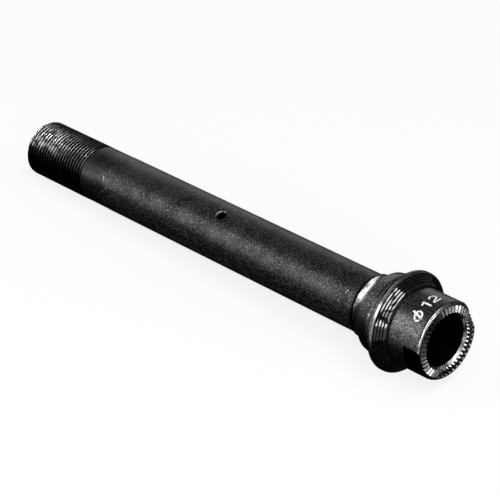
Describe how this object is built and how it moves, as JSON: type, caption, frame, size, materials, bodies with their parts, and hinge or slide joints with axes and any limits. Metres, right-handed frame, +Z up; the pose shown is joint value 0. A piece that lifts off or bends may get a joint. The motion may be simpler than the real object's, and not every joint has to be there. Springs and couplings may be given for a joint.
{
  "type": "hollow hub axle",
  "caption": "Hollow hub axle tube with a bare threaded end, fitted at the other end with a bearing cone, a ribbed rubber dust seal and a round lock nut with a serrated face.",
  "frame": {"origin": "on the ground, below the middle of the axle's length", "axes": "+Y along the ground from the nut's serrated face to the bare thread, +Z up. The axle lies on the cone's flange and the end of its thread, so its axis dips 2.2 degrees towards +Y."},
  "size_m": [0.0234, 0.1374, 0.0235],
  "materials": {
    "blackened_tube": "blackened, lightly blasted",
    "hardened_cone": "blackened, race ground bright",
    "seal_rubber": "moulded, semi-gloss",
    "blackened_nut": "blackened, mottled"
  },
  "bodies": {
    "root": {"axle_tube": "blackened_tube", "bearing_cone": "hardened_cone", "dust_seal": "seal_rubber", "lock_nut": "blackened_nut"}
  },
  "joints": []
}
